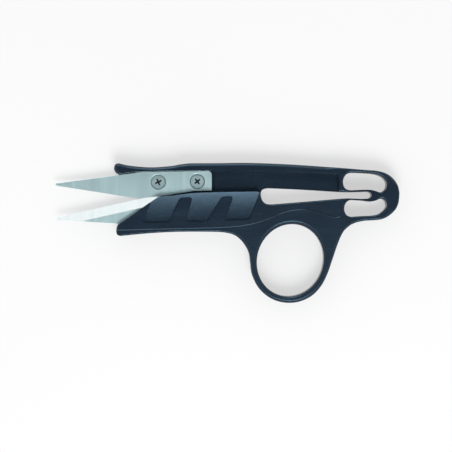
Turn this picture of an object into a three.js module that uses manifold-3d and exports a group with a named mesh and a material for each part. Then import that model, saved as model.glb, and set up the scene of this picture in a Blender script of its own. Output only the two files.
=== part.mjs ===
// Thread snips with a finger ring: one sprung plastic handle carrying two thin steel blades.
// Millimetres. +X runs from the blade tips to the spring bow, +Y is the thumb side, +Z is up
// when the snips lie on their back. The origin is under the middle of the snips, on the table.
import * as THREE from "three";
import { mergeVertices } from "three/addons/utils/BufferGeometryUtils.js";
import Module from "manifold-3d";

const wasm = await Module();
wasm.setup();

// ---- Driving dimensions ----
const TIP_X = -60;                    // blade tips; the bow ends at +60
const THICKNESS = 10;                 // whole handle, back to front
const MIDDLE = THICKNESS / 2;         // the plane in which the two blades shear
const BLADE = { thickness: 1.2, clearance: 0.02, bevel: 3.2, edge: 0.15 };
const PANEL_STEP = 0.5;               // outer panel of each arm, sunk below its raised border
const WEB_CLEARANCE = 0.3;            // each arm's web stops this far short of the middle plane
const BLADE_MIRROR = { y: 10.9, slope: 0.033 };   // line that mirrors one blade into the other
const ARM_MIRROR = { y: 10.9, slope: 0.0214 };    // the same for the two arms
const LEAF = { front: 43, hairpin: 48.2, bow: 51.7, inset: 0.3 };  // where the spring leaves run
const RECESS_END = 39;                // deep recess of each arm stops here
const POCKET_END = -4.6;              // blade pocket stops here
const SCOOP = { depth: 0.8, length: 11, edge: [-30, 12.55], slope: 0.05 };
const SCREW = { head: 2.65, shank: 1.45, length: 3.0, recess: 0.9 };
const INSERT = { outer: 2.0, inner: 1.52, length: 1.95, fit: 0.05 };
const SCREWS = { front: [-24.1, 17.76], rear: [-10.44, 17.93] };   // in the upper blade
const ROUND = 32;                     // facets round a screw
const CURVE = 5;                      // segments between two points of a curve
const ELLIPSE = 24;                   // half the facets round the finger hole
const OVER = 1;                       // how far a cut runs past the face it opens

const UPPER_BLADE = { flat: MIDDLE - BLADE.clearance, side: -1 };
const LOWER_BLADE = { flat: MIDDLE + BLADE.clearance, side: 1 };
for (const blade of [UPPER_BLADE, LOWER_BLADE]) {
  blade.back = blade.flat + blade.side * BLADE.thickness;
}

// ---- Outlines ----

// A closed outline. Each step is a point to run straight to, or a list of points to curve through.
function outline(start, ...steps) {
  const shape = new THREE.Shape();
  shape.moveTo(...start);
  for (const step of steps) {
    if (Array.isArray(step[0])) {
      shape.splineThru(step.map((point) => new THREE.Vector2(...point)));
    } else {
      shape.lineTo(...step);
    }
  }
  return shape;
}

// The point mirrored across a line through the tips' middle.
function mirrored([x, y], { y: height, slope }) {
  const length = Math.hypot(1, slope);
  const away = (y - height - slope * (x - TIP_X)) / length;
  return [x + (2 * away * slope) / length, y - (2 * away) / length];
}

function upperArmOutline() {
  return outline(
    [LEAF.front, 22.33],
    [[36, 22.87], [22, 23.82], [8, 24.36], [-3, 24.28], [-13, 24.24]],
    [[-16.3, 23.85], [-19.7, 23.26], [-26.7, 22.83], [-33.7, 23.38], [-37.9, 24.26]],
    [[-38.9, 23.9], [-39.4, 23], [-39.4, 22], [-38.9, 21], [-38.2, 20.4]],
    [-25.4, 11.5],
    [[-24.6, 10.95], [-23.2, 10.68]],
    [[-17.8, 10.5], [-12.9, 10.13], [-4.9, 10.09], [10.4, 10.45]],
    [[11.3, 11.1], [11.7, 12.3], [11.75, 13.6], [11.95, 14.5], [12.6, 15.2], [14.2, 15.58]],
    [[25.6, 15.08], [39.5, 14.24], [LEAF.front, 14.16]],
    [LEAF.front, 14.76],
    [[41.6, 15.1], [40.7, 16.1], [40.36, 17.7], [40.7, 19.2], [41.6, 20.4], [LEAF.front, 20.93]],
  );
}

// Round the outside of the finger ring, from the front to the bow.
const RING_OUTSIDE = [
  [2.3, -0.75], [4.5, -2.3], [6.4, -4.7], [7.55, -7.2], [8.05, -10.8], [8.6, -14.5],
  [10.8, -19.05], [14.55, -22.5], [19.2, -24.25], [24.4, -24.2], [29.2, -22.2],
  [32.7, -18.65], [34.95, -14.35], [36.6, -9.65], [38.7, -3.55],
];

function lowerArmOutline() {
  return outline(
    [LEAF.front, 11.95],
    [[39.5, 11.85], [29, 10.98], [15.6, 9.88]],
    [[14, 9.98], [13, 10.42], [12.25, 11.3], [11.85, 12.4], [11.6, 13.6], [10.8, 14.33]],
    [[-4.9, 14.07], [-12.95, 13.68], [-17.8, 13.1], [-22.6, 12.7]],
    [[-24, 12.4], [-25, 11.85]],
    [-37.3, 3.45],
    [[-38.2, 2.7], [-38.6, 1.3], [-38.6, 0.2], [-38.2, -0.8], [-37.2, -1.14]],
    [
      [-32, -0.63], [-26.7, -0.17], [-19.7, 0.23], [-12, 0.36], [-4, 0.28], [-0.6, 0.03],
      ...RING_OUTSIDE, [40.57, 0.44], [LEAF.front, 2.7],
    ],
    [LEAF.front, 5.55],
    [[41.7, 6.1], [40.95, 7.3], [40.8, 8.63], [41.1, 9.9], [41.9, 10.95], [LEAF.front, 11.45]],
  );
}

// The finger hole is an ellipse that leans towards the bow.
const FINGER_HOLE = { x: 21.99, y: -9.61, long: 12.71, short: 11.51, lean: 71 };

function fingerHoleCutter() {
  const { x, y, long, short, lean } = FINGER_HOLE;
  const shape = new THREE.Shape();
  shape.absellipse(x, y, long, short, 0, 2 * Math.PI, false, THREE.MathUtils.degToRad(lean));
  return prism(shape, -OVER, THICKNESS + OVER, ELLIPSE);
}

// Inner edge of the upper arm's rim, from the nose to x = POCKET_END.
const RIM_LINE = [[-45, 20.3], [-38.2, 20.45], [-33.7, 21.03], [-26, 21.48], [POCKET_END, 21.75]];

function upperRecess() {
  return outline(
    RIM_LINE[0], RIM_LINE[1], RIM_LINE.slice(2),
    [[8, 21.85], [22, 21.45], [36.8, 20.95]],
    [[38, 20.5], [38.7, 19.4], [38.95, 17], [RECESS_END, 13]],
    [RECESS_END, 5], [-45, 5],
  );
}

function upperPocket() {
  return outline(RIM_LINE[0], RIM_LINE[1], RIM_LINE.slice(2), [POCKET_END, 5], [-45, 5]);
}

function upperBackPanel() {
  return outline(
    [-45, 21.4], [-38.6, 21.9],
    [[-30, 21.5], [-24, 21.5], [-17, 22.2], [-10, 22.7], [8, 22.75], [22, 22.2], [36, 21.3]],
    [[38.6, 20.7], [39.3, 19.4], [39.4, 17.5]],
    [39.4, 5], [-45, 5],
  );
}

function lowerFrontPanel() {
  return outline(
    [-45, 1], [-38, 1.2],
    [[-20, 1.66], [-0.75, 2.21], [8, 3.23], [14.9, 5.32], [18.4, 6.89], [21.9, 7.93]],
    [[25.4, 8.35], [28.9, 8], [32.4, 6.89], [35.9, 5.84], [38.2, 5.56]],
    [[39.3, 5.95], [39.7, 7], [39.8, 9.5]],
    [39.8, 20], [-45, 20],
  );
}

// Inner edge of the lower arm's back rim, from its nose to x = POCKET_END.
const BACK_RIM_LINE = [[-45, 1.9], [-38, 2.1], [-28.4, 2.3], [POCKET_END, 3.45]];

function lowerRecess() {
  return outline(
    ...BACK_RIM_LINE,
    [[4.5, 4], [9, 4.6], [14.9, 6], [18.4, 7.3], [25.4, 8.6], [32.4, 7.2], [35.9, 6.4]],
    [[38.1, 6.6], [38.8, 8], [RECESS_END, 10]],
    [RECESS_END, 20], [-45, 20],
  );
}

function lowerPocket() {
  return outline(...BACK_RIM_LINE, [POCKET_END, 20], [-45, 20]);
}

// The bow: a C round the back, with a bridge to the closed end of the hairpin inside it.
function bowOutline() {
  return outline(
    [LEAF.bow, 21.65],
    [[53.45, 21.33], [55.2, 20.76], [57, 19.7], [58.5, 18.2], [59.58, 16.1], [-TIP_X, 14]],
    [[59.9, 11.9], [59.5, 9.85], [58.4, 7.76], [56.3, 5.85], [54, 4.75], [LEAF.bow, 4.37]],
    [LEAF.bow, 6.17],
    [[52.6, 6.4], [53.6, 6.95], [54.6, 7.8], [55.4, 8.8], [55.56, 9.85], [55.2, 10.98], [54.3, 11.8]],
    [[53.2, 11.85], [51.7, 11.19], [50, 10.89], [LEAF.hairpin, 11.03]],
    [LEAF.hairpin, 11.84],
    [[49.3, 11.95], [50.05, 12.4], [50.28, 13.1], [50, 13.85], [49.2, 14.25], [LEAF.hairpin, 14.35]],
    [LEAF.hairpin, 14.98],
    [[50, 14.92], [51.7, 14.54], [53.2, 14.05], [54.3, 14.4], [55.2, 15.3], [55.6, 16.6]],
    [[55.4, 17.8], [54.6, 18.9], [53.6, 19.65], [52.6, 20.1], [LEAF.bow, 20.34]],
  );
}

// ---- Solids ----

function prism(shape, bottom, top, curveSegments = CURVE) {
  const options = { depth: top - bottom, bevelEnabled: false, curveSegments };
  return new THREE.ExtrudeGeometry(shape, options).translate(0, 0, bottom);
}

// A prism of the given corners, whose section lies in the plane of two axes through the origin.
function placedPrism(corners, depth, origin, xAxis, yAxis) {
  const shape = new THREE.Shape(corners.map((corner) => new THREE.Vector2(...corner)));
  const place = new THREE.Matrix4();
  place.makeBasis(xAxis, yAxis, new THREE.Vector3().crossVectors(xAxis, yAxis));
  place.setPosition(origin);
  return new THREE.ExtrudeGeometry(shape, { depth, bevelEnabled: false }).applyMatrix4(place);
}

// A turned solid about Z, from (radius, height) points that start and end on the axis.
function turned(profile) {
  const points = profile.map((point) => new THREE.Vector2(...point));
  return new THREE.LatheGeometry(points, ROUND).rotateX(Math.PI / 2);
}

function toSolid(geometry) {
  const bare = geometry.clone();
  bare.deleteAttribute("normal");
  bare.deleteAttribute("uv");
  const merged = mergeVertices(bare, 1e-5);
  return new wasm.Manifold(new wasm.Mesh({
    numProp: 3,
    vertProperties: new Float32Array(merged.getAttribute("position").array),
    triVerts: new Uint32Array(merged.getIndex().array),
  }));
}

function toGeometry(solid) {
  const mesh = solid.getMesh();
  const geometry = new THREE.BufferGeometry();
  geometry.setAttribute("position", new THREE.BufferAttribute(mesh.vertProperties, 3));
  geometry.setIndex(new THREE.BufferAttribute(mesh.triVerts, 1));
  geometry.computeVertexNormals();
  return geometry;
}

function cut(geometry, cutters) {
  let solid = toSolid(geometry);
  for (const cutter of cutters) {
    solid = solid.subtract(cutter instanceof wasm.Manifold ? cutter : toSolid(cutter));
  }
  return toGeometry(solid);
}

// ---- Grip scoops ----

// Three leaning scoops and the strip that joins their open ends along the arm's inner edge,
// drawn on the lower arm's front.
const SCOOPS = [
  [[-29.4, 3.6], [-20.2, 3.6], [-15.6, 14.5], [-24.9, 14.5]],
  [[-14.4, 4], [-6.75, 4], [-0.6, 15], [-11.2, 15]],
  [[-0.75, 4.3], [7.8, 4.75], [11.7, 15], [3, 15]],
  [[-18, 12.2], [3, 12.75], [3, 15], [-18, 15]],
];

// The scoops as cutters. Their floor starts level at the inner edge and sinks along an arc.
// side is 1 for the lower arm's front and -1 for the same scoops mirrored on the upper arm's back.
function scoopCutters(side) {
  const face = side > 0 ? THICKNESS - PANEL_STEP : PANEL_STEP;
  const onSide = (point) => (side > 0 ? point : mirrored(point, ARM_MIRROR));
  const floor = [[-3, -3], [-3, 0]];
  for (let step = 0; step <= 8; step++) {
    const along = step / 8;
    floor.push([along * SCOOP.length, SCOOP.depth * (1 - (1 - along) ** 2)]);
  }
  floor.push([SCOOP.length, -3]);
  const near = onSide(SCOOP.edge);
  const far = onSide([SCOOP.edge[0] + 50, SCOOP.edge[1] + 50 * SCOOP.slope]);
  const alongEdge = new THREE.Vector3(far[0] - near[0], far[1] - near[1], 0).normalize();
  const intoPanel = new THREE.Vector3(alongEdge.y, -alongEdge.x, 0).multiplyScalar(side);
  const intoFace = new THREE.Vector3(0, 0, -side);
  const ramp = toSolid(placedPrism(floor, 50, new THREE.Vector3(...near, face), intoPanel, intoFace));
  return SCOOPS.map((corners) => {
    const plan = new THREE.Shape(corners.map((corner) => new THREE.Vector2(...onSide(corner))));
    return ramp.intersect(toSolid(prism(plan, face - 3, face + 3)));
  });
}

// ---- Handle ----

// Blind bores for the two moulded-in inserts of one arm, opening on the blade's back.
function insertBores(blade) {
  return screwPlaces(blade).map(([, x, y]) => {
    const depth = INSERT.length + INSERT.fit;
    const end = blade.back + blade.side * depth;
    const [low, high] = blade.side > 0 ? [blade.back - OVER, end] : [end, blade.back + OVER];
    const radius = INSERT.outer + INSERT.fit;
    return turned([[0, low], [radius, low], [radius, high], [0, high]]).translate(x, y, 0);
  });
}

// Where one arm's insert and screw sit: [front or rear, x, y].
function screwPlaces(blade) {
  return Object.entries(SCREWS).map(([place, point]) => {
    return [place, ...(blade.side < 0 ? point : mirrored(point, BLADE_MIRROR))];
  });
}

function upperArm() {
  return cut(prism(upperArmOutline(), 0, THICKNESS), [
    prism(upperRecess(), MIDDLE - WEB_CLEARANCE, THICKNESS + OVER),
    prism(upperPocket(), UPPER_BLADE.back, MIDDLE),
    prism(upperBackPanel(), -OVER, PANEL_STEP),
    ...scoopCutters(-1),
    ...insertBores(UPPER_BLADE),
  ]);
}

// The lower arm and the ring below it are one moulding. They part along y = 0, behind x = -2.
function ringSide() {
  return outline([-2, -30], [50, -30], [50, 0], [-2, 0]);
}

function lowerArm() {
  return cut(prism(lowerArmOutline(), 0, THICKNESS), [
    fingerHoleCutter(),
    prism(ringSide(), -OVER, THICKNESS + OVER),
    prism(lowerFrontPanel(), THICKNESS - PANEL_STEP, THICKNESS + OVER),
    prism(lowerRecess(), -OVER, MIDDLE + WEB_CLEARANCE),
    prism(lowerPocket(), MIDDLE, LOWER_BLADE.back),
    ...scoopCutters(1),
    ...insertBores(LOWER_BLADE),
  ]);
}

function fingerRing() {
  const below = toSolid(prism(ringSide(), -OVER, THICKNESS + OVER));
  const whole = toSolid(prism(lowerArmOutline(), 0, THICKNESS)).intersect(below);
  return toGeometry(whole.subtract(toSolid(fingerHoleCutter())));
}

// The four strips that flex: the outer pair carries the bow, the inner pair is the hairpin.
const LEAVES = {
  upper_outer_leaf: outline(
    [LEAF.front, 20.93], [[46.5, 20.84], [50, 20.61], [LEAF.bow, 20.34]],
    [LEAF.bow, 21.65], [[48.2, 21.89], [LEAF.front, 22.33]],
  ),
  upper_inner_leaf: outline(
    [LEAF.front, 14.16], [[46.5, 14.26], [LEAF.hairpin, 14.35]],
    [LEAF.hairpin, 14.98], [[46.5, 14.93], [LEAF.front, 14.76]],
  ),
  lower_inner_leaf: outline(
    [LEAF.front, 11.45], [[46.5, 11.25], [LEAF.hairpin, 11.03]],
    [LEAF.hairpin, 11.84], [[46.5, 11.79], [LEAF.front, 11.95]],
  ),
  lower_outer_leaf: outline(
    [LEAF.front, 2.7], [[44.7, 3.47], [46.5, 3.91], [48.2, 4.18], [LEAF.bow, 4.37]],
    [LEAF.bow, 6.17], [[50, 5.92], [46.5, 5.78], [LEAF.front, 5.55]],
  ),
};

// ---- Blades ----

// A quarter turn clockwise from the top of a circle to its +X side.
function roundedCorner([x, y], radius, steps) {
  return Array.from({ length: steps + 1 }, (_, step) => {
    const angle = (Math.PI / 2) * (1 - step / steps);
    return [x + radius * Math.cos(angle), y + radius * Math.sin(angle)];
  });
}

// Upper blade, from the spine end of its blunt tip round the tang to the cutting edge.
const CUTTING_EDGE = { heel: [-28.5, 11.54], tip: [TIP_X + 0.1, 16.5], runOut: 7 };
const BLADE_CORNERS = [
  [TIP_X + 0.1, 17.27], [-29.5, 21.3], ...roundedCorner([-6.65, 20.35], 1.25, 6), [-5.4, 14.69],
  [-11.2, 14.64], [-23.2, 12.85], [-24.2, 11.49], CUTTING_EDGE.heel, CUTTING_EDGE.tip, [TIP_X, 16.9],
];

// A flat plate, countersunk for its screws, with one bevel ground on the face away from the other.
function blade({ flat, back, side }) {
  const onSide = (point) => (side < 0 ? point : mirrored(point, BLADE_MIRROR));
  const shape = new THREE.Shape(BLADE_CORNERS.map((p) => new THREE.Vector2(...onSide(p))));
  const heel = onSide(CUTTING_EDGE.heel);
  const tip = onSide(CUTTING_EDGE.tip);
  const towardsHeel = new THREE.Vector3(heel[0] - tip[0], heel[1] - tip[1], 0);
  const length = towardsHeel.length() + 3 + CUTTING_EDGE.runOut;
  towardsHeel.normalize();
  const inward = new THREE.Vector3(-towardsHeel.y, towardsHeel.x, 0).multiplyScalar(-side);
  const end = new THREE.Vector3(...heel, 0).addScaledVector(towardsHeel, CUTTING_EDGE.runOut);
  const start = side < 0 ? end.clone().addScaledVector(towardsHeel, -length) : end;
  const edge = flat + side * BLADE.edge;
  const rise = (back - edge) / BLADE.bevel;
  const section = [
    [BLADE.bevel, back], [-OVER, edge - OVER * rise], [-OVER, back + side * OVER],
    [BLADE.bevel, back + side * OVER],
  ];
  const bevel = placedPrism(section, length, start, inward, new THREE.Vector3(0, 0, 1));
  const depth = BLADE.thickness + OVER;
  const wide = SCREW.head + INSERT.fit;
  const narrow = SCREW.shank + INSERT.fit;
  const profile = [
    [0, -depth], [narrow, -depth], [narrow, narrow - wide], [wide, 0], [wide, OVER], [0, OVER],
  ];
  const holes = screwPlaces({ side }).map(([, x, y]) => {
    return turned(profile).rotateX(side < 0 ? 0 : Math.PI).translate(x, y, flat);
  });
  return cut(prism(shape, Math.min(flat, back), Math.max(flat, back)), [bevel, ...holes]);
}

// ---- Fasteners, drawn point down with the head's top at z = 0 ----

function screw() {
  const neck = SCREW.shank - SCREW.head;
  const body = turned([
    [0, -SCREW.length], [SCREW.shank - 0.3, -SCREW.length], [SCREW.shank, -SCREW.length + 0.3],
    [SCREW.shank, neck], [SCREW.head, 0], [0, 0],
  ]);
  const arm = (width, height) => {
    return new THREE.BoxGeometry(width, height, SCREW.recess + OVER)
      .translate(0, 0, (OVER - SCREW.recess) / 2);
  };
  return cut(body, [arm(2.3, 0.5), arm(0.5, 2.3)]);
}

function insert() {
  const top = -BLADE.thickness - INSERT.fit;
  const bottom = top - INSERT.length + INSERT.fit;
  return new THREE.LatheGeometry([
    new THREE.Vector2(INSERT.inner, bottom), new THREE.Vector2(INSERT.outer, bottom),
    new THREE.Vector2(INSERT.outer, top), new THREE.Vector2(INSERT.inner, top),
    new THREE.Vector2(INSERT.inner, bottom),
  ], ROUND).rotateX(Math.PI / 2);
}

// ---- Assembly ----

const PLASTIC = { color: 0x1c2733, roughness: 0.45, metalness: 0 };
const STEEL = { color: 0xb4bcbc, roughness: 0.3, metalness: 1 };
const BRASS = { color: 0xb08d4a, roughness: 0.35, metalness: 1 };

const group = new THREE.Group();

function add(name, geometry, finish, parent = group) {
  const mesh = new THREE.Mesh(geometry, new THREE.MeshStandardMaterial(finish));
  mesh.name = name;
  parent.add(mesh);
  return mesh;
}

add("rear_bow", prism(bowOutline(), 0, THICKNESS), PLASTIC);
add("upper_arm", upperArm(), PLASTIC);
add("lower_arm", lowerArm(), PLASTIC);
add("finger_ring", fingerRing(), PLASTIC);
for (const [name, shape] of Object.entries(LEAVES)) {
  add(name, prism(shape, LEAF.inset, THICKNESS - LEAF.inset), PLASTIC);
}
add("upper_blade", blade(UPPER_BLADE), STEEL);
add("lower_blade", blade(LOWER_BLADE), STEEL);

// The cross recesses stop wherever each screw came tight, in degrees.
const SCREW_TURNS = { upper_front: 25, upper_rear: 38, lower_front: 10, lower_rear: 62 };
for (const [arm, plate] of [["upper", UPPER_BLADE], ["lower", LOWER_BLADE]]) {
  for (const [place, x, y] of screwPlaces(plate)) {
    const seat = new THREE.Group();
    seat.position.set(x, y, plate.flat);
    seat.rotation.x = plate.side < 0 ? 0 : Math.PI;
    group.add(seat);
    const turn = THREE.MathUtils.degToRad(SCREW_TURNS[`${arm}_${place}`]);
    add(`${arm}_${place}_screw`, screw(), STEEL, seat).rotation.z = turn;
    add(`${arm}_${place}_insert`, insert(), BRASS, seat);
  }
}

export default group;
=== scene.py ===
"""Looks of a pair of thread snips: a sprung plastic handle with a finger ring and two blades.

Lengths in this script are millimetres, in the CAD frame: +X from the blade tips to the spring
bow, +Y the thumb side, +Z up. Only meshes, the camera and the lights are turned into metres.
"""

import math

import bmesh
import bpy
import numpy as np
from mathutils import Matrix, Vector


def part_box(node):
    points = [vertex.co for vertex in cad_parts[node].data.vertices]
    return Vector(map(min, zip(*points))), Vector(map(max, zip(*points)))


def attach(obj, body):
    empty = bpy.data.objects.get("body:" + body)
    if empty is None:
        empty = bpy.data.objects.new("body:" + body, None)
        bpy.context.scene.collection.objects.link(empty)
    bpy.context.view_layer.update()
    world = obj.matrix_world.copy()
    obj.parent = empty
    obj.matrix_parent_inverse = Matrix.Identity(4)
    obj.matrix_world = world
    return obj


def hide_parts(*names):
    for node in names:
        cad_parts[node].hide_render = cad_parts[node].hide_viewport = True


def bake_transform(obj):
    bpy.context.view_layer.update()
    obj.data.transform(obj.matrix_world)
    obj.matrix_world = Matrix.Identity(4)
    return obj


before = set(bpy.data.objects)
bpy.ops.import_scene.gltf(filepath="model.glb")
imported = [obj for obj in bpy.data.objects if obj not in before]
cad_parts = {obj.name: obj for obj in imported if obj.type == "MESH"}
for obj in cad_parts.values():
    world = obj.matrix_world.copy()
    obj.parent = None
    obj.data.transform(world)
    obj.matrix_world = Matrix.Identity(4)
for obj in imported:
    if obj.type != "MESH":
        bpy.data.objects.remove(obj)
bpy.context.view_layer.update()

# ---- Driving dimensions, mm ----

MM = 0.001                 # metres
CELL = 0.25                # spacing of the samples that the mouldings are meshed from
REACH = 3.0                # distances in the plan are only worked out this far
EDGE = 1.3                 # radius round the outside of the handle
RING_EDGE = 1.0            # radius round the bar of the finger ring
LEAF_EDGE = 0.6            # radius along the outer spring leaves
GRIP_EDGE = 0.42           # radius round the scooped grips and along the slot
PANEL_EDGE = 0.65          # radius along the border of the sunk panels
CREASE = 58                # corners sharper than this many degrees are shaded as corners
PANEL_STEP = 0.5           # depth of the sunk panels
WEB_CLEARANCE = 0.3        # between an arm's web and the plane the blades meet in
SMOOTH_TURN = 30           # corners sharper than this many degrees stay corners
TIP_X = -60
ARM_MIRROR = {"y": 10.9, "slope": 0.0214}   # the line that mirrors one arm into the other
HAIRPIN_Y = 13             # middle of the hairpin spring
HAIRPIN_HALF = 4.5         # half the width of the strip that holds the hairpin and no outer leaf

# Where the edge radius changes along the handle, from the start to the end of each change.
HINGE_FADE = (0.5, 3)      # distance from the hairpin
HAIRPIN_ROUND = 2.5        # length of the hairpin's round end, past its leaves
RING_FADE = (-7, 3)        # y
LEAF_FADE = (9, 4)         # distance ahead of the leaves
BOW_FADE = (2, 7)          # distance past the leaves
GRIP_TOP_FADE = (16, 18.5)     # y
GRIP_SIDE_FADE = (6, 8.5)      # y
GRIP_BACK_FADE = (0, 8)        # x
SCOOPS_BACK_FADE = (10, 14)    # x


def box_mm(*names):
    """Lowest and highest corner of some CAD nodes together."""
    boxes = [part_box(name) for name in names]
    low = np.min([np.array(box[0]) for box in boxes], axis=0)
    high = np.max([np.array(box[1]) for box in boxes], axis=0)
    return low / MM, high / MM


THICKNESS = box_mm("rear_bow")[1][2]
MIDDLE = THICKNESS / 2
LEAF_FRONT = box_mm("upper_inner_leaf")[0][0]
HAIRPIN_END = box_mm("upper_inner_leaf")[1][0]
BOW_START = box_mm("upper_outer_leaf")[1][0]
UPPER_BLADE_BACK = box_mm("upper_blade")[0][2]
LOWER_BLADE_BACK = box_mm("lower_blade")[1][2]

# ---- Outlines, cut from the CAD nodes ----


def sliced(name, height):
    """The straight pieces in which the plane z = height cuts a CAD node."""
    cut = bmesh.new()
    cut.from_mesh(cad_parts[name].data)
    bmesh.ops.remove_doubles(cut, verts=cut.verts, dist=1e-7)
    bmesh.ops.bisect_plane(
        cut, geom=cut.verts[:] + cut.edges[:] + cut.faces[:], dist=1e-8,
        plane_co=(0, 0, height * MM), plane_no=(0, 0, 1), clear_inner=True, clear_outer=True,
    )
    pieces = []
    for edge in cut.edges:
        start, end = [(round(v.co.x / MM, 3), round(v.co.y / MM, 3)) for v in edge.verts]
        if start != end:
            pieces.append((start, end))
    cut.free()
    return pieces


def chained(pieces):
    """Joins straight pieces end to end. A closed chain ends on its first point."""
    links = {}
    for a, b in pieces:
        links.setdefault(a, []).append(b)
        links.setdefault(b, []).append(a)
    chains = []
    while links:
        chain = [min(links, key=lambda point: len(links[point]))]
        while links.get(chain[-1]):
            here = chain[-1]
            there = links[here].pop()
            links[there].remove(here)
            chain.append(there)
        links = {point: near for point, near in links.items() if near}
        chains.append(straightened(np.array(chain)))
    return chains


def straightened(chain):
    """The chain without the points that lie on a straight line between their neighbours."""
    closed = np.array_equal(chain[0], chain[-1])
    points = list(chain[:-1] if closed else chain)
    index = 0 if closed else 1
    while index < len(points) - (0 if closed else 1) and len(points) > 2:
        before = points[index - 1]
        after = points[(index + 1) % len(points)]
        across = after - before
        here = points[index] - before
        off = abs(across[0] * here[1] - across[1] * here[0]) / max(np.hypot(*across), 1e-9)
        if off < 0.0015:
            points.pop(index)
        else:
            index += 1
    return np.array(points + points[:1] if closed else points)


def outline_of(*slices):
    """Closed chains round CAD sections that meet edge to edge, given as (node, height)."""
    once = set()
    for name, height in slices:
        for chain in chained(sliced(name, height)):
            corners = [tuple(point) for point in chain]
            for a, b in zip(corners[:-1], corners[1:]):
                once ^= {(min(a, b), max(a, b))}
    return chained(sorted(once))


def walls_of(section, outline):
    """The parts of a section's chains that don't run along the outline."""
    pieces = []
    for chain in section:
        for a, b in zip(chain[:-1], chain[1:]):
            if distance_from_point((a + b) / 2, outline) > 0.02:
                pieces.append((tuple(a), tuple(b)))
    return chained(pieces)


def distance_from_point(point, chains):
    nearest = REACH
    for chain in chains:
        start = chain[:-1]
        way = np.diff(chain, axis=0)
        along = np.clip(((point - start) * way).sum(1) / (way * way).sum(1), 0, 1)
        off = point - start - along[:, None] * way
        nearest = min(nearest, np.hypot(*off.T).min())
    return nearest


def smoothed(chain, parts=4):
    """The chain with a cubic through its points, straight up to each real corner."""
    closed = np.array_equal(chain[0], chain[-1])
    step = np.diff(chain, axis=0)
    length = np.hypot(*step.T)[:, None]
    way = step / length
    back_way = np.roll(way, 1, axis=0)
    back_length = np.roll(length, 1, axis=0)
    even = (length < 4 * back_length) & (back_length < 4 * length)
    turns = (way * back_way).sum(1, keepdims=True) > math.cos(math.radians(SMOOTH_TURN))
    bends = even & turns
    if not closed:
        bends[0] = False
    shared = (way * back_length + back_way * length) / (length + back_length)
    start = np.where(bends, shared, way)
    end = np.where(np.roll(bends, -1, axis=0), np.roll(shared, -1, axis=0), way)
    rows = []
    for part in range(parts):
        t = part / parts
        rows.append(
            chain[:-1] * (2 * t**3 - 3 * t**2 + 1) + chain[1:] * (3 * t**2 - 2 * t**3)
            + length * start * (t**3 - 2 * t**2 + t) + length * end * (t**3 - t**2)
        )
    points = np.stack(rows, axis=1).reshape(-1, 2)
    return np.vstack([points, chain[-1:]])


# ---- Distances in the plan ----

HANDLE_LOW, HANDLE_HIGH = box_mm("rear_bow", "upper_arm", "lower_arm", "finger_ring")
GRID_LOW = np.floor(HANDLE_LOW) - 1
GRID_X = GRID_LOW[0] + CELL * np.arange(math.ceil((HANDLE_HIGH[0] - GRID_LOW[0] + 1) / CELL))
GRID_Y = GRID_LOW[1] + CELL * np.arange(math.ceil((HANDLE_HIGH[1] - GRID_LOW[1] + 1) / CELL))
GRID_Z = -0.6 + CELL * np.arange(math.ceil((THICKNESS + 1.2) / CELL))


def distance_to(chains):
    """How far each sample of the plan is from the nearest chain, up to REACH."""
    nearest = np.full((len(GRID_X), len(GRID_Y)), REACH)
    for chain in chains:
        for a, b in zip(chain[:-1], chain[1:]):
            low = np.minimum(a, b) - REACH
            high = np.maximum(a, b) + REACH
            i = slice(*np.searchsorted(GRID_X, (low[0], high[0])))
            j = slice(*np.searchsorted(GRID_Y, (low[1], high[1])))
            x = GRID_X[i, None] - a[0]
            y = GRID_Y[None, j] - a[1]
            dx, dy = b - a
            along = np.clip((x * dx + y * dy) / (dx * dx + dy * dy), 0, 1)
            off = np.hypot(x - along * dx, y - along * dy)
            np.minimum(nearest[i, j], off, out=nearest[i, j])
    return nearest


def within(chains):
    """Which samples of the plan are inside the closed chains."""
    odd = np.zeros((len(GRID_X), len(GRID_Y)), bool)
    for chain in chains:
        for (ax, ay), (bx, by) in zip(chain[:-1], chain[1:]):
            j = slice(*np.searchsorted(GRID_Y, sorted((ay, by))))
            if j.start < j.stop:
                crossing = ax + (GRID_Y[j] - ay) / (by - ay) * (bx - ax)
                odd[:, j] ^= GRID_X[:, None] > crossing
    return odd


def plan_distance(outline):
    """Distance from closed chains, negative inside them."""
    chains = [smoothed(chain) for chain in outline]
    return np.where(within(chains), -1, 1) * distance_to(chains)


def wall_distance(section, outline):
    """Distance from the walls inside an outline, negative on the side that is cut away."""
    inner = plan_distance(section)
    outer = plan_distance(outline)
    stands = inner <= np.maximum(outer, 0) + 0.02
    walls = [smoothed(chain) for chain in walls_of(section, outline)]
    return np.where(stands, 1, -1) * distance_to(walls)


def sampled(field, x, y):
    """A field of the plan at any points, by linear interpolation."""
    i = np.clip((x - GRID_X[0]) / CELL, 0, len(GRID_X) - 1.001)
    j = np.clip((y - GRID_Y[0]) / CELL, 0, len(GRID_Y) - 1.001)
    i0 = i.astype(int)
    j0 = j.astype(int)
    u = i - i0
    v = j - j0
    near = field[i0, j0] * (1 - v) + field[i0, j0 + 1] * v
    far = field[i0 + 1, j0] * (1 - v) + field[i0 + 1, j0 + 1] * v
    return near * (1 - u) + far * u


# ---- Rounded joins of distances ----


def both(a, b, radius):
    """Inside a and inside b, with the edge between them rounded."""
    corner = np.hypot(np.maximum(a + radius, 0), np.maximum(b + radius, 0))
    return np.minimum(-radius, np.maximum(a, b)) + corner


def either(a, b, radius):
    return -both(-a, -b, radius)


def ramp(value, start, end):
    """0 before start, 1 after end, and a smooth rise between."""
    t = np.clip((value - start) / (end - start), 0, 1)
    return t * t * (3 - 2 * t)


# ---- Grip scoops ----

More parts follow.
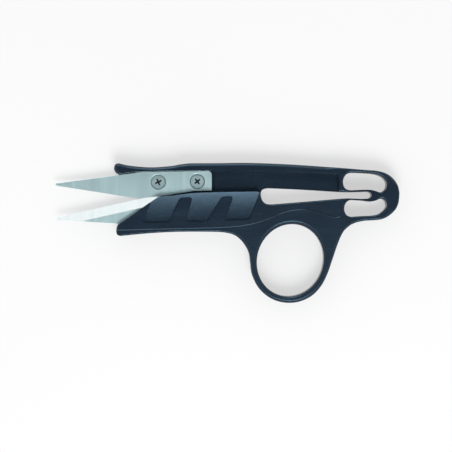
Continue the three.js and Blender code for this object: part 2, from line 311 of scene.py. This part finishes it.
# Three leaning scoops and the strip that joins their open ends, on the lower arm's front.
SCOOPS = [
    [(-29.4, 3.6), (-20.2, 3.6), (-15.6, 14.5), (-24.9, 14.5)],
    [(-14.4, 4), (-6.75, 4), (-0.6, 15), (-11.2, 15)],
    [(-0.75, 4.3), (7.8, 4.75), (11.7, 15), (3, 15)],
    [(-18, 12.2), (3, 12.75), (3, 15), (-18, 15)],
]
SCOOP_DEPTH = 0.8
SCOOP_LENGTH = 11
SCOOP_START = (-30, 12.95)     # on the line just outside the arm where the scoops' floors begin
SCOOP_SLOPE = 0.05
SCOOP_CORNER = 0.7
BAND_CORNER = 1.1


def mirrored(x, y, line=ARM_MIRROR):
    """A point mirrored across a line through the middle of the blade tips."""
    length = math.hypot(1, line["slope"])
    away = (y - line["y"] - line["slope"] * (x - TIP_X)) / length
    return x + 2 * away * line["slope"] / length, y - 2 * away / length


def inside_corners(corners, x, y, radius):
    """Distance from a convex outline drawn anticlockwise, with its corners rounded."""
    result = None
    for (ax, ay), (bx, by) in zip(corners, corners[1:] + corners[:1]):
        length = math.hypot(bx - ax, by - ay)
        side = ((y - ay) * (ax - bx) + (x - ax) * (by - ay)) / length
        result = side if result is None else both(result, side, radius)
    return result


def scoop_cut(x, y, drop):
    """Distance from the space of the scoops; drop is the depth below the panel."""
    plan = None
    for corners in SCOOPS:
        one = inside_corners(corners, x, y, SCOOP_CORNER)
        plan = one if plan is None else either(plan, one, BAND_CORNER)
    run = (SCOOP_START[1] + SCOOP_SLOPE * (x - SCOOP_START[0]) - y) / SCOOP_LENGTH
    floor = SCOOP_DEPTH * (1 - (1 - np.clip(run, 0, 1)) ** 2)
    return np.maximum(plan, drop - floor)


def beside_scoops(x, y):
    """1 along the arm's inner edge, where the scoops run out, and 0 away from it."""
    return ramp(y, *GRIP_SIDE_FADE) * (1 - ramp(x, *SCOOPS_BACK_FADE))


# ---- The mouldings ----


def edge_radius(x, y):
    """The radius round the outside of the handle at a place in the plan."""
    low, high = box_mm("upper_inner_leaf", "lower_inner_leaf")
    past_x = np.maximum(np.maximum(low[0] - x, x - high[0] - HAIRPIN_ROUND), 0)
    past_y = np.maximum(np.maximum(low[1] - y, y - high[1]), 0)
    near_hinge = 1 - ramp(np.hypot(past_x, past_y), *HINGE_FADE)
    on_ring = 1 - ramp(y, *RING_FADE)
    in_grip = np.maximum(1 - ramp(x, *GRIP_BACK_FADE), ramp(y, *GRIP_SIDE_FADE))
    on_grip = (1 - ramp(y, *GRIP_TOP_FADE)) * in_grip
    past_front = ramp(x, LEAF_FRONT - LEAF_FADE[0], LEAF_FRONT - LEAF_FADE[1])
    on_leaves = past_front * (1 - ramp(x, BOW_START + BOW_FADE[0], BOW_START + BOW_FADE[1]))
    radius = EDGE + (RING_EDGE - EDGE) * on_ring
    radius = radius + (GRIP_EDGE - radius) * on_grip
    radius = radius + (LEAF_EDGE - radius) * on_leaves * (1 - on_ring)
    return radius * (1 - near_hinge)


def blank(outline):
    """A moulding of full thickness, as a function of its distances in the plan."""
    plan = plan_distance(outline)

    def solid(x, y, z):
        return both(sampled(plan, x, y), np.abs(z - MIDDLE) - MIDDLE, edge_radius(x, y))

    return solid


def stepped(solid, full, section_height, floor, up, edge=0.0):
    """The solid with one recess of a CAD node cut in it, open upwards (up = 1) or down (-1).

    full is the node and a height at which it is whole; section_height is one inside the recess.
    edge is the radius round the recess's rim, apart from the stretch beside the scoops.
    """
    outline = outline_of(full)
    walls = wall_distance(outline_of((full[0], section_height)), outline)

    def with_recess(x, y, z):
        space = np.maximum(sampled(walls, x, y), up * (floor - z))
        beside = beside_scoops(*((x, y) if up > 0 else mirrored(x, y)))
        return both(solid(x, y, z), -space, edge * (1 - beside))

    return with_recess


def scooped(solid, panel, up):
    """The solid with the grip scoops cut in its panel."""

    def with_scoops(x, y, z):
        place = (x, y) if up > 0 else mirrored(x, y)
        space = scoop_cut(*place, (panel - z) * up)
        return np.maximum(solid(x, y, z), -space)

    return with_scoops


def bored(solid, inserts):
    """The solid with a blind bore for each insert."""
    for name in inserts:
        low, high = box_mm(name)
        solid = with_bore(solid, (low + high) / 2, (high - low) / 2 + 0.05)
    return solid


def with_bore(solid, centre, half):
    def bored_solid(x, y, z):
        round_wall = np.hypot(x - centre[0], y - centre[1]) - half[0]
        space = np.maximum(round_wall, np.abs(z - centre[2]) - half[2])
        return np.maximum(solid(x, y, z), -space)

    return bored_solid


UPPER_FULL = ("upper_arm", 1.5)     # a height at which nothing is cut from the arm
LOWER_FULL = ("lower_arm", 8.5)
NEAR_TOP = 9.9                      # heights inside each recess
NEAR_BOTTOM = 0.25
IN_UPPER_POCKET = 4.2
IN_LOWER_POCKET = 5.7
LEAF_NAMES = ["upper_outer_leaf", "upper_inner_leaf", "lower_outer_leaf", "lower_inner_leaf"]
LEAF_SLICES = {name: (name, MIDDLE) for name in LEAF_NAMES}
BOW_SLICE = ("rear_bow", MIDDLE)


def upper_moulding():
    solid = blank(outline_of(
        UPPER_FULL, LEAF_SLICES["upper_outer_leaf"], LEAF_SLICES["upper_inner_leaf"], BOW_SLICE))
    solid = stepped(solid, UPPER_FULL, NEAR_TOP, MIDDLE - WEB_CLEARANCE, 1)
    solid = stepped(solid, UPPER_FULL, IN_UPPER_POCKET, UPPER_BLADE_BACK, 1)
    solid = stepped(solid, UPPER_FULL, NEAR_BOTTOM, PANEL_STEP, -1, PANEL_EDGE)
    solid = scooped(solid, PANEL_STEP, -1)
    return bored(solid, ["upper_front_insert", "upper_rear_insert"])


def lower_moulding():
    solid = blank(outline_of(
        LOWER_FULL, ("finger_ring", MIDDLE), LEAF_SLICES["lower_outer_leaf"],
        LEAF_SLICES["lower_inner_leaf"], BOW_SLICE))
    solid = stepped(solid, LOWER_FULL, NEAR_BOTTOM, MIDDLE + WEB_CLEARANCE, -1)
    solid = stepped(solid, LOWER_FULL, IN_LOWER_POCKET, LOWER_BLADE_BACK, -1)
    solid = stepped(solid, LOWER_FULL, NEAR_TOP, THICKNESS - PANEL_STEP, 1, PANEL_EDGE)
    solid = scooped(solid, THICKNESS - PANEL_STEP, 1)
    return bored(solid, ["lower_front_insert", "lower_rear_insert"])


def bow_moulding():
    return blank(outline_of(BOW_SLICE, *LEAF_SLICES.values()))


# ---- From a moulding to a mesh ----

CORNERS = [np.array((i, j, k)) for i in (0, 1) for j in (0, 1) for k in (0, 1)]
AROUND = [(1, 1), (0, 1), (0, 0), (1, 0)]   # the four cells round an edge of the grid, in turn


def surface_of(solid, low, high):
    """Points and quads on the solid's surface inside a box of the grid.

    There is one point in every cell that the surface passes through. It sits where the tangent
    planes of the surface on the cell's edges meet, so that sharp corners stay sharp.
    """
    xs = GRID_X[(GRID_X > low[0] - 1) & (GRID_X < high[0] + 1)]
    ys = GRID_Y[(GRID_Y > low[1] - 1) & (GRID_Y < high[1] + 1)]
    origin = np.array((xs[0], ys[0], GRID_Z[0]))
    depth = solid(xs[:, None, None], ys[None, :, None], GRID_Z[None, None, :])
    inside = depth < 0
    shape = np.array(depth.shape) - 1
    some = np.zeros(shape, int)
    for corner in CORNERS:
        some += inside[tuple(slice(c, c + n) for c, n in zip(corner, shape))]
    cells = np.argwhere((some > 0) & (some < 8))
    index = np.full(shape, -1)
    index[tuple(cells.T)] = np.arange(len(cells))

    planes = Planes(len(cells))
    quads = []
    for axis in range(3):
        one, two = [other for other in range(3) if other != axis]
        step = np.eye(3, dtype=int)[axis]
        here = np.take(inside, range(inside.shape[axis] - 1), axis)
        there = np.take(inside, range(1, inside.shape[axis]), axis)
        edges = np.argwhere(here != there)
        edges = edges[((edges[:, (one, two)] > 0) & (edges[:, (one, two)] < shape[[one, two]])).all(1)]
        points, normals = crossings(solid, edges, step, origin, here[tuple(edges.T)])
        around = []
        for back_one, back_two in AROUND:
            cell = edges.copy()
            cell[:, one] -= back_one
            cell[:, two] -= back_two
            around.append(index[tuple(cell.T)])
            planes.add(around[-1], points, normals)
        quad = np.stack(around, axis=1)
        outward = here[tuple(edges.T)] == (axis != 1)
        quads.append(np.where(outward[:, None], quad, quad[:, ::-1]))
    middles = origin + CELL * (cells + 0.5)
    return settled(solid, planes.meeting(middles)), np.vstack(quads)


def crossings(solid, edges, step, origin, inside_first):
    """Where grid edges cross the surface, by halving, and the surface's normals there."""
    near = np.zeros(len(edges))
    far = np.ones(len(edges))
    for _ in range(8):
        middle = (near + far) / 2
        points = origin + CELL * (edges + middle[:, None] * step)
        still = (solid(*points.T) < 0) == inside_first
        near = np.where(still, middle, near)
        far = np.where(still, far, middle)
    points = origin + CELL * (edges + near[:, None] * step)
    return points, unit(gradient(solid, points))


def settled(solid, points):
    """The points moved onto the surface, which curves away from the planes' meeting points."""
    for _ in range(2):
        slope = gradient(solid, points)
        steep = np.maximum((slope * slope).sum(1), 0.25)
        move = np.clip(solid(*points.T) / steep, -0.05, 0.05)
        points = points - move[:, None] * slope
    return points


def gradient(solid, points, nudge=0.003):
    """How the solid's distance changes along each axis, over a short step either way."""
    slope = np.empty(points.shape)
    for axis in range(3):
        offset = nudge * np.eye(3)[axis]
        slope[:, axis] = (solid(*(points + offset).T) - solid(*(points - offset).T)) / (2 * nudge)
    return slope


class Planes:
    """Sums over the planes that pass through each of a number of cells."""

    def __init__(self, count):
        self.count = count
        self.number = np.zeros(count)
        self.points = np.zeros((count, 3))
        self.products = np.zeros((count, 3, 3))
        self.offsets = np.zeros((count, 3))

    def add(self, cell, points, normals):
        reach = (normals * points).sum(1)
        self.number += self.summed(cell, 1)
        for i in range(3):
            self.points[:, i] += self.summed(cell, points[:, i])
            self.offsets[:, i] += self.summed(cell, normals[:, i] * reach)
            for j in range(3):
                self.products[:, i, j] += self.summed(cell, normals[:, i] * normals[:, j])

    def summed(self, cell, values):
        return np.bincount(cell, values * np.ones(len(cell)), minlength=self.count)

    def meeting(self, middles):
        """The point nearest to every cell's planes, kept to the cell."""
        centre = self.points / np.maximum(self.number, 1)[:, None]
        pull = self.offsets - (self.products @ centre[:, :, None])[:, :, 0]
        firm = self.products + 0.06 * np.eye(3)
        moved = centre + np.linalg.solve(firm, pull[:, :, None])[:, :, 0]
        return middles + np.clip(moved - middles, -0.55 * CELL, 0.55 * CELL)


def trimmed(mesh, where, plane_x, keep_front):
    """Cuts the faces for which where(centre) holds at a plane across X, and closes the cut."""
    faces = [face for face in mesh.faces if where(face.calc_center_median() / MM)]
    edges = {edge for face in faces for edge in face.edges}
    verts = {vert for face in faces for vert in face.verts}
    found = bmesh.ops.bisect_plane(
        mesh, geom=list(verts) + list(edges) + faces, dist=1e-7, plane_co=(plane_x * MM, 0, 0),
        plane_no=(1, 0, 0), clear_outer=keep_front, clear_inner=not keep_front,
    )
    rim = [item for item in found["geom_cut"] if isinstance(item, bmesh.types.BMEdge)]
    bmesh.ops.holes_fill(mesh, edges=rim)
    for edge in rim:
        edge.smooth = False


def to_object(name, mesh, finishes, smooth=True):
    data = bpy.data.meshes.new(name)
    for face in mesh.faces:
        face.smooth = smooth
    mesh.to_mesh(data)
    mesh.free()
    item = bpy.data.objects.new(name, data)
    bpy.context.scene.collection.objects.link(item)
    for finish in finishes:
        data.materials.append(finish)
    return item


def outer_leaves(centre):
    return abs(centre.y - HAIRPIN_Y) > HAIRPIN_HALF


def hairpin(centre):
    return abs(centre.y - HAIRPIN_Y) <= HAIRPIN_HALF


def moulded(name, solid, box_names, keep_front, finish):
    """Meshes a moulding, keeps its part ahead of or behind the cuts, and makes it an object."""
    low, high = box_mm(*box_names)
    points, quads = surface_of(solid, low - CELL * 2, high + CELL * 2)
    data = bpy.data.meshes.new("rough")
    data.from_pydata((points * MM).tolist(), [], quads.tolist())
    mesh = bmesh.new()
    mesh.from_mesh(data)
    bpy.data.meshes.remove(data)
    trimmed(mesh, outer_leaves, BOW_START, keep_front)
    trimmed(mesh, hairpin, HAIRPIN_END, keep_front)
    loose = [vert for vert in mesh.verts if not vert.link_faces]
    bmesh.ops.delete(mesh, geom=loose, context="VERTS")
    bmesh.ops.recalc_face_normals(mesh, faces=mesh.faces)
    item = to_object(name, mesh, [finish])
    item.data.set_sharp_from_angle(angle=math.radians(CREASE))
    item.data.normals_split_custom_set(shading_normals(solid, item.data))
    return item


def shading_normals(solid, data):
    """The solid's own normals, but the mesh's on its sharp corners and on its cut ends."""
    points = stored(data.vertices, "co", 3) / MM
    vertex = stored(data.loops, "vertex_index", 1)[:, 0].astype(int)
    ends = stored(data.edges, "vertices", 2).astype(int)
    sharp = stored(data.edges, "use_edge_sharp", 1)[:, 0] > 0
    on_corner = np.zeros(len(points), bool)
    on_corner[ends[sharp]] = True
    meshed = stored(data.corner_normals, "vector", 3)
    own = unit(gradient(solid, points))[vertex]
    trusted = ~on_corner[vertex] & ((own * meshed).sum(1) > math.cos(math.radians(CREASE / 2)))
    return np.where(trusted[:, None], own, meshed)


def stored(items, field, width):
    """One field of a mesh's vertices, faces or corners as rows of numbers."""
    values = np.empty(len(items) * width)
    items.foreach_get(field, values)
    return values.reshape(-1, width)


def unit(vectors):
    return vectors / np.maximum(np.linalg.norm(vectors, axis=1), 1e-6)[:, None]


# ---- Materials ----


class Nodes:
    """A material's node tree, with short ways to add and link its nodes."""

    def __init__(self, name):
        self.material = bpy.data.materials.new(name)
        self.material.use_nodes = True
        self.tree = self.material.node_tree
        self.shader = self.tree.nodes["Principled BSDF"]

    def add(self, kind, **settings):
        node = self.tree.nodes.new(kind)
        for key, value in settings.items():
            setattr(node, key, value)
        return node

    def link(self, source, target):
        self.tree.links.new(source, target)

    def noise(self, coordinates, scale, detail=3.0, roughness=0.5):
        node = self.add("ShaderNodeTexNoise")
        node.inputs["Scale"].default_value = scale
        node.inputs["Detail"].default_value = detail
        node.inputs["Roughness"].default_value = roughness
        self.link(coordinates, node.inputs["Vector"])
        return node.outputs["Fac"]

    def stretched(self, coordinates, scale):
        node = self.add("ShaderNodeMapping")
        node.inputs["Scale"].default_value = scale
        self.link(coordinates, node.inputs["Vector"])
        return node.outputs["Vector"]

    def remap(self, value, low, high, to_low, to_high):
        node = self.add("ShaderNodeMapRange")
        for socket, number in zip(node.inputs[1:5], (low, high, to_low, to_high)):
            socket.default_value = number
        self.link(value, node.inputs["Value"])
        return node.outputs["Result"]

    def colours(self, value, stops):
        node = self.add("ShaderNodeValToRGB")
        ramp_points = node.color_ramp.elements
        while len(ramp_points) < len(stops):
            ramp_points.new(0.5)
        for point, (position, colour) in zip(ramp_points, stops):
            point.position = position
            point.color = (*colour, 1)
        self.link(value, node.inputs["Fac"])
        return node.outputs["Color"]

    def bump(self, height, strength, distance, after=None):
        node = self.add("ShaderNodeBump")
        node.inputs["Strength"].default_value = strength
        node.inputs["Distance"].default_value = distance
        self.link(height, node.inputs["Height"])
        if after is not None:
            self.link(after, node.inputs["Normal"])
        return node.outputs["Normal"]


def object_place(nodes):
    return nodes.add("ShaderNodeTexCoord").outputs["Object"]


def plastic():
    """Satin moulded plastic: fine grain, faint clouding and edges rubbed a little smoother."""
    nodes = Nodes("handle_plastic")
    place = object_place(nodes)
    cloud = nodes.noise(place, 90, 4)
    grain = nodes.noise(place, 3500, 2)
    flow = nodes.noise(nodes.stretched(place, (60, 400, 60)), 1, 3)
    colour = nodes.colours(cloud, [(0.3, (0.0044, 0.0080, 0.0145)), (0.7, (0.0056, 0.0098, 0.0175))])
    nodes.link(colour, nodes.shader.inputs["Base Color"])
    worn = nodes.remap(
        nodes.add("ShaderNodeNewGeometry").outputs["Pointiness"], 0.5, 0.56, 0.0, 1.0)
    rough = nodes.add("ShaderNodeMath", operation="MULTIPLY_ADD")
    nodes.link(worn, rough.inputs[0])
    rough.inputs[1].default_value = -0.06
    nodes.link(nodes.remap(flow, 0.3, 0.7, 0.235, 0.29), rough.inputs[2])
    nodes.link(rough.outputs[0], nodes.shader.inputs["Roughness"])
    nodes.shader.inputs["Specular IOR Level"].default_value = 0.5
    nodes.shader.inputs["Specular Tint"].default_value = (0.45, 0.75, 1.0, 1)
    fine = nodes.bump(grain, 0.12, 0.00004)
    nodes.link(nodes.bump(cloud, 0.08, 0.0004, fine), nodes.shader.inputs["Normal"])
    return nodes.material


def ground_steel(name, tint, roughness, groove, along_x=260, streaks=0.88):
    """Steel ground in one direction, with lines of uneven depth across the blade.

    streaks is how dark the darkest of the broad streaks are, against the tint.
    """
    nodes = Nodes(name)
    place = object_place(nodes)
    lines = nodes.noise(nodes.stretched(place, (along_x * 18, 90, 90)), 1, 5, 0.65)
    broad = nodes.noise(nodes.stretched(place, (along_x * 1.6, 25, 25)), 1, 3)
    low = tuple(channel * streaks for channel in tint)
    nodes.link(nodes.colours(broad, [(0.3, low), (0.7, tint)]), nodes.shader.inputs["Base Color"])
    nodes.shader.inputs["Metallic"].default_value = 1
    nodes.link(
        nodes.remap(lines, 0.3, 0.7, roughness - 0.04, roughness + 0.05),
        nodes.shader.inputs["Roughness"])
    nodes.link(nodes.bump(lines, groove, 0.00003), nodes.shader.inputs["Normal"])
    return nodes.material


def turned_metal(name, tint, roughness):
    """Metal turned on a lathe, with faint rings and small marks."""
    nodes = Nodes(name)
    place = object_place(nodes)
    marks = nodes.noise(place, 900, 4)
    rings = nodes.add("ShaderNodeTexWave", wave_type="RINGS", rings_direction="Z")
    rings.inputs["Scale"].default_value = 2200
    rings.inputs["Distortion"].default_value = 1.5
    nodes.link(place, rings.inputs["Vector"])
    low = tuple(channel * 0.92 for channel in tint)
    nodes.link(nodes.colours(marks, [(0.35, low), (0.65, tint)]), nodes.shader.inputs["Base Color"])
    nodes.shader.inputs["Metallic"].default_value = 1
    nodes.link(
        nodes.remap(marks, 0.3, 0.7, roughness - 0.02, roughness + 0.04),
        nodes.shader.inputs["Roughness"])
    nodes.link(nodes.bump(rings.outputs["Fac"], 0.06, 0.00001), nodes.shader.inputs["Normal"])
    return nodes.material


def floor_paint():
    """A white sheet lit partly from below, as on a light table."""
    nodes = Nodes("floor")
    place = object_place(nodes)
    tone = nodes.colours(
        nodes.noise(place, 6, 2), [(0.3, (0.247, 0.247, 0.247)), (0.7, (0.253, 0.253, 0.253))])
    nodes.link(tone, nodes.shader.inputs["Base Color"])
    nodes.shader.inputs["Emission Color"].default_value = (1, 1, 1, 1)
    nodes.shader.inputs["Emission Strength"].default_value = 0.57
    nodes.shader.inputs["Roughness"].default_value = 0.9
    nodes.shader.inputs["Specular IOR Level"].default_value = 0.1
    return nodes.material


# ---- Blades ----

BREAK = 0.06               # radius along a blade's corners


def blade(name, flat_finish, bevel_finish):
    """A blade from its CAD node, with broken edges and its ground bevel finished apart."""
    mesh = bmesh.new()
    mesh.from_mesh(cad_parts[name].data)
    bmesh.ops.remove_doubles(mesh, verts=mesh.verts, dist=1e-7)
    bmesh.ops.dissolve_limit(
        mesh, angle_limit=math.radians(0.5), verts=mesh.verts, edges=mesh.edges)
    mesh.normal_update()
    sharp = [edge for edge in mesh.edges if edge.calc_face_angle(0) > math.radians(28)]
    keen = cutting_edge(mesh)
    bmesh.ops.bevel(
        mesh, geom=[edge for edge in sharp if edge not in keen], offset=BREAK * MM, segments=2,
        affect="EDGES", profile=0.5, clamp_overlap=True)
    mesh.normal_update()
    for face in mesh.faces:
        leans = 0.85 < abs(face.normal.z) < 0.985
        face.material_index = int(leans and face.calc_area() > 20 * MM * MM)
    item = to_object(name + "_plate", mesh, [flat_finish, bevel_finish])
    item.data.set_sharp_from_angle(angle=math.radians(12))
    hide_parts(name)
    return item


def cutting_edge(mesh):
    """The edges of the narrow land that is left along the cutting edge."""
    return {
        edge for edge in mesh.edges
        if any(face.calc_area() < 8 * MM * MM and abs(face.normal.z) < 0.1 for face in edge.link_faces)
        and edge.calc_length() > 20 * MM
    }


# ---- Turned parts ----

FACETS = 64


def turned(profile, ripple=None):
    """A closed mesh turned about Z from (radius, height) points that start and end on the axis.

    ripple(angle, radius, height), where given, is added to the radius.
    """
    mesh = bmesh.new()
    rings = []
    for radius, height in profile:
        if radius == 0:
            rings.append([mesh.verts.new((0, 0, height * MM))])
            continue
        ring = []
        for step in range(FACETS):
            angle = 2 * math.pi * step / FACETS
            wide = (radius + (ripple(angle, radius, height) if ripple else 0)) * MM
            ring.append(mesh.verts.new((wide * math.cos(angle), wide * math.sin(angle), height * MM)))
        rings.append(ring)
    for low, high in zip(rings[:-1], rings[1:]):
        for step in range(FACETS):
            after = (step + 1) % FACETS
            corners = [low[step % len(low)], low[after % len(low)],
                       high[after % len(high)], high[step % len(high)]]
            mesh.faces.new(list(dict.fromkeys(corners)))
    bmesh.ops.recalc_face_normals(mesh, faces=mesh.faces)
    return mesh


SCREW = {"head": 2.36, "seat": 2.65, "lip": 0.55, "shank": 1.45, "length": 3.0, "pitch": 0.5}
CROSS = {"reach": 1.2, "width": 0.62, "depth": 1.1, "point": 0.45}
SCREW_TURNS = {"upper_front": 25, "upper_rear": 38, "lower_front": 10, "lower_rear": 62}


def screw_mesh():
    """A countersunk screw, point down, with the top of its head at z = 0.

    The head is narrower than its seat at the top, which leaves a groove round it.
    """
    head, seat, lip, shank, length = (
        SCREW[key] for key in ("head", "seat", "lip", "shank", "length"))
    neck = shank - seat
    threads = 40
    profile = [(head - 0.05, 0), (head, -0.05), (seat - lip, -lip), (shank + 0.02, neck)]
    for step in range(threads + 1):
        profile.append((shank, neck - 0.1 + (length + neck - 0.4) * -step / threads))
    profile += [(shank - 0.35, -length), (0, -length)]

    def thread(angle, radius, height):
        if height > neck - 0.15 or radius < shank:
            return 0
        turn = height / SCREW["pitch"] - angle / (2 * math.pi)
        return -0.22 * abs(2 * (turn - math.floor(turn)) - 1)

    return turned(profile, thread)


def cross_corners(mesh, scale, height):
    """The corners of a cross with tapering arms."""
    half = CROSS["width"] / 2
    reach = CROSS["reach"]
    corners = []
    for quarter in range(4):
        spin = Matrix.Rotation(quarter * math.pi / 2, 3, "Z")
        for x, y in ((half, half), (half * 0.8, reach), (-half * 0.8, reach)):
            place = spin @ Vector((x * scale, y * scale, height))
            corners.append(mesh.verts.new(place * MM))
    return corners


def recessed(mesh):
    """Closes the open top of a screw's head round a cross-shaped recess."""
    rim = [edge for edge in mesh.edges if edge.is_boundary]
    top = cross_corners(mesh, 1, 0)
    bottom = cross_corners(mesh, CROSS["point"], -CROSS["depth"])
    walls = []
    for step in range(len(top)):
        after = (step + 1) % len(top)
        walls.append(mesh.faces.new([top[step], top[after], bottom[after], bottom[step]]))
    walls.append(mesh.faces.new(bottom))
    mouth = [mesh.edges.get((top[step], top[step - 1])) for step in range(len(top))]
    bmesh.ops.triangle_fill(
        mesh, edges=rim + mouth, normal=(0, 0, 1), use_beauty=True, use_dissolve=False)
    # The cross's walls and floor take the second finish, a near-black steel that is painted shade in
    # the recess.
    for wall in walls:
        wall.material_index = 1
    bmesh.ops.recalc_face_normals(mesh, faces=mesh.faces)
    return mesh


def screw_data(finish, painted_shade_finish):
    """The mesh that every screw shares."""
    item = to_object("screw", recessed(screw_mesh()), [finish, painted_shade_finish])
    data = item.data
    data.set_sharp_from_angle(angle=math.radians(20))
    bpy.data.objects.remove(item)
    return data


INSERT = {"outer": 2.0, "inner": 1.52, "groove": 0.18, "teeth": 16}


def insert_mesh(height):
    """A sleeve with a knurled band above and below a plain waist, centred on the origin."""
    outer, inner = INSERT["outer"], INSERT["inner"]
    half = height / 2
    waist = outer - INSERT["groove"]
    profile = [
        (inner, half), (outer - 0.1, half), (outer, half - 0.1), (outer, 0.25), (waist, 0.15),
        (waist, -0.15), (outer, -0.25), (outer, 0.1 - half), (outer - 0.1, -half),
        (inner, -half), (inner, half),
    ]

    def knurl(angle, radius, _):
        if radius < outer:
            return 0
        return -0.06 * (1 - math.cos(angle * INSERT["teeth"]))

    return turned(profile, knurl)


def fasteners(arm, facing, screw, steel, brass):
    """The screws and inserts of one arm. facing is 1 where the heads point up, -1 down."""
    body = "thumb_arm" if arm == "upper" else "ring_arm"
    for place in ("front", "rear"):
        node = f"{arm}_{place}_screw"
        low, high = box_mm(node)
        head = high[2] if facing > 0 else low[2]
        item = bpy.data.objects.new(node + "_turned", screw)
        bpy.context.scene.collection.objects.link(item)
        turn = Matrix.Rotation(math.radians(SCREW_TURNS[f"{arm}_{place}"]), 4, "Z")
        flip = Matrix.Rotation(0 if facing > 0 else math.pi, 4, "X")
        centre = Vector(((low[0] + high[0]) / 2, (low[1] + high[1]) / 2, head))
        item.matrix_world = Matrix.Translation(centre * MM) @ flip @ turn
        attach(item, body)
        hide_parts(node)

        node = f"{arm}_{place}_insert"
        low, high = box_mm(node)
        sleeve = to_object(node + "_sleeve", insert_mesh(high[2] - low[2]), [brass])
        sleeve.data.set_sharp_from_angle(angle=math.radians(35))
        sleeve.location = Vector((low + high) / 2) * MM
        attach(sleeve, body)
        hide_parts(node)


# ---- Camera, floor and light ----

VIEW_WIDTH = 157.5         # what the frame's width takes in, at the height of the front face
VIEW_CENTRE = (-0.4, 2.35)
LENS = 200
SENSOR = 36


def camera():
    data = bpy.data.cameras.new("camera")
    data.lens = LENS
    data.sensor_width = SENSOR
    distance = VIEW_WIDTH * LENS / SENSOR
    item = bpy.data.objects.new("camera", data)
    item.location = Vector((*VIEW_CENTRE, THICKNESS - 1 + distance)) * MM
    bpy.context.scene.collection.objects.link(item)
    bpy.context.scene.camera = item


def floor():
    mesh = bmesh.new()
    bmesh.ops.create_grid(mesh, x_segments=8, y_segments=8, size=1.5)
    item = to_object("floor", mesh, [floor_paint()])
    item.location.z = -0.00002


# Name, place and width in metres, power in watts, and the kinds of surface that show it.
LAMPS = [
    ("key", (0.07, -0.30, 0.85), 0.27, 2.15, ("diffuse", "glossy")),
    ("shade", (0.05, -0.45, 0.80), 0.45, 5.5, ("diffuse",)),
    ("back", (-0.1, 0.80, 0.40), 0.40, 2.2, ("glossy",)),
]
TENT_COLOUR = (1.0, 1.0, 1.0, 1)
OPENING_COLOUR = (0.095, 0.11, 0.12, 1)
OPENING = (0.90, 0.98)     # how straight up the tent's edge and the opening's middle are
TENT_STRENGTH = 0.95


def lamp(name, position, size, power, seen_on):
    data = bpy.data.lights.new(name, "AREA")
    data.shape = "DISK"
    data.size = size
    data.energy = power
    item = bpy.data.objects.new(name, data)
    item.visible_diffuse = "diffuse" in seen_on
    item.visible_glossy = "glossy" in seen_on
    item.location = position
    item.rotation_euler = (-Vector(position)).to_track_quat("-Z", "Y").to_euler()
    bpy.context.scene.collection.objects.link(item)


def studio():
    """A white tent with a darker opening overhead, and the lamps."""
    world = bpy.data.worlds.new("studio")
    world.use_nodes = True
    bpy.context.scene.world = world
    tree = world.node_tree
    place = tree.nodes.new("ShaderNodeTexCoord")
    axes = tree.nodes.new("ShaderNodeSeparateXYZ")
    tone = tree.nodes.new("ShaderNodeValToRGB")
    points = tone.color_ramp.elements
    for point, height, colour in zip(points, OPENING, (TENT_COLOUR, OPENING_COLOUR)):
        point.position = height
        point.color = colour
    tree.links.new(place.outputs["Generated"], axes.inputs[0])
    tree.links.new(axes.outputs["Z"], tone.inputs["Fac"])
    tree.links.new(tone.outputs["Color"], tree.nodes["Background"].inputs["Color"])
    tree.nodes["Background"].inputs["Strength"].default_value = TENT_STRENGTH
    for settings in LAMPS:
        lamp(*settings)
    bpy.context.scene.view_settings.view_transform = "Standard"


camera()
floor()
studio()

# ---- Assembly ----

handle = plastic()


UPPER_NODES = ("upper_arm", "upper_outer_leaf", "upper_inner_leaf")
LOWER_NODES = ("lower_arm", "finger_ring", "lower_outer_leaf", "lower_inner_leaf")

upper = moulded("upper_handle", upper_moulding(), UPPER_NODES, True, handle)
lower = moulded("lower_handle", lower_moulding(), LOWER_NODES, True, handle)
bow = moulded("spring_bow", bow_moulding(), ["rear_bow"], False, handle)

# The handle pieces have their placing baked into their meshes, and their CAD nodes are hidden.
for piece, body, nodes in ((upper, "thumb_arm", UPPER_NODES), (lower, "ring_arm", LOWER_NODES)):
    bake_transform(piece)
    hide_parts(*nodes)
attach(bow, "bow")
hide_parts("rear_bow")

ground = ground_steel("blade_steel", (0.60, 0.81, 0.83), 0.32, 0.06)
polished = ground_steel("bevel_steel", (0.84, 0.91, 0.92), 0.24, 0.02, streaks=0.95)
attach(blade("upper_blade", ground, polished), "thumb_arm")
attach(blade("lower_blade", ground, polished), "ring_arm")

screw_steel = turned_metal("screw_steel", (0.48, 0.64, 0.66), 0.3)
brass = turned_metal("insert_brass", (0.62, 0.43, 0.17), 0.35)
# A near-black steel for the walls of the screws' cross recesses: painted shade in the hollow.
recess_painted_shade = turned_metal("screw_recess_painted_shade", (0.04, 0.055, 0.06), 0.5)
screw = screw_data(screw_steel, recess_painted_shade)
fasteners("upper", 1, screw, screw_steel, brass)
fasteners("lower", -1, screw, screw_steel, brass)
